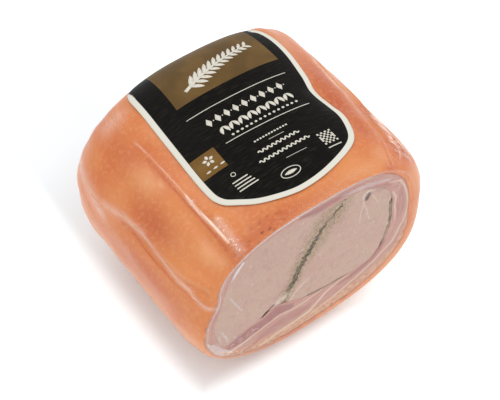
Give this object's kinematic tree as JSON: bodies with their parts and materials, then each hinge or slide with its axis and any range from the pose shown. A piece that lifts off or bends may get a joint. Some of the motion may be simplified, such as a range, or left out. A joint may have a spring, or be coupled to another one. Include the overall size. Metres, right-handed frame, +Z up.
{
  "type": "half porchetta in a sealed bag",
  "caption": "Half a rolled roast porchetta with its cut face showing, sealed in a clear skin-tight bag with a plain dark label on top.",
  "frame": {"origin": "bottom centre of the whole object's box: the loaf stands on z = 0, with the middle of its box at x = 0 and y = 0", "axes": "+Z up through the label; the cut face looks along -Y and the round end along +Y; +X is the right side seen from the cut face, and the width along X is the longest extent"},
  "size_m": [0.2, 0.1824, 0.1405],
  "materials": {
    "rind_in_film": "roasted pork rind under a tight glossy clear film",
    "cooked_loin": "pale pink cooked pork, smooth moist cut face",
    "herb_filling": "dark green chopped herbs, rough and moist",
    "label_paper": "printed label, satin black with cream border and gold-brown fields",
    "bag_film": "clear glossy heat-shrunk film"
  },
  "bodies": {
    "root": {"bagged_belly_wrap": "rind_in_film", "loin_left": "cooked_loin", "loin_right": "cooked_loin", "herb_seam_main": "herb_filling", "herb_seam_right": "herb_filling", "herb_seam_low": "herb_filling", "label": "label_paper", "seal_fin": "bag_film"}
  },
  "joints": []
}
